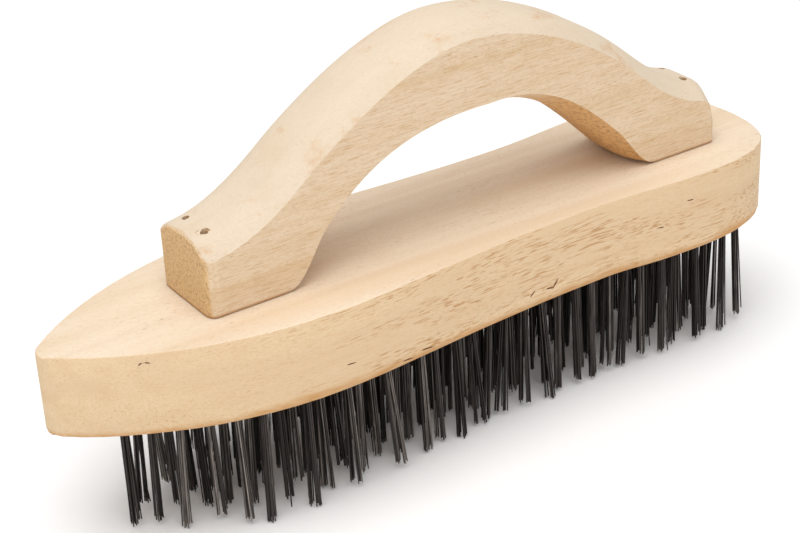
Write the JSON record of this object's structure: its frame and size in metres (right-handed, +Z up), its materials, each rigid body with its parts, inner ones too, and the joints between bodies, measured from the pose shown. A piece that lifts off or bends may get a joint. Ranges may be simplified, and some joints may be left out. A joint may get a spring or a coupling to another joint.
{
  "type": "wire brush",
  "caption": "Hand wire brush: saddle-shaped wooden block with an arched wooden handle nailed on top and staggered tufts of blackened steel wire set in its underside.",
  "frame": {"origin": "centre of the bounding box, at the level of the wire tips that the brush stands on", "axes": "+X along the block, from its pointed nose to its rounded tail; +Y across the block; +Z up, from the wire tips to the handle"},
  "size_m": [0.25, 0.0628, 0.1289],
  "materials": {
    "block_wood": "matte",
    "handle_wood": "matte",
    "tuft_wire": "satin",
    "nail_steel": "satin"
  },
  "bodies": {
    "root": {"block": "block_wood", "handle": "handle_wood", "nail_nose_near": "nail_steel", "nail_nose_far": "nail_steel", "nail_tail_near": "nail_steel", "nail_tail_far": "nail_steel", "tuft_row_01": "tuft_wire", "tuft_row_02": "tuft_wire", "tuft_row_03": "tuft_wire", "tuft_row_04": "tuft_wire", "tuft_row_05": "tuft_wire", "tuft_row_06": "tuft_wire", "tuft_row_07": "tuft_wire", "tuft_row_08": "tuft_wire", "tuft_row_09": "tuft_wire", "tuft_row_10": "tuft_wire", "tuft_row_11": "tuft_wire", "tuft_row_12": "tuft_wire", "tuft_row_13": "tuft_wire", "tuft_row_14": "tuft_wire", "tuft_row_15": "tuft_wire", "tuft_row_16": "tuft_wire", "tuft_row_17": "tuft_wire", "tuft_row_18": "tuft_wire", "tuft_row_19": "tuft_wire", "tuft_row_20": "tuft_wire", "tuft_row_21": "tuft_wire", "tuft_row_22": "tuft_wire", "tuft_row_23": "tuft_wire", "tuft_row_24": "tuft_wire", "tuft_row_25": "tuft_wire", "tuft_row_26": "tuft_wire", "tuft_row_27": "tuft_wire", "tuft_row_28": "tuft_wire", "tuft_row_29": "tuft_wire", "tuft_row_30": "tuft_wire", "tuft_row_31": "tuft_wire", "tuft_row_32": "tuft_wire", "tuft_row_33": "tuft_wire"}
  },
  "joints": []
}
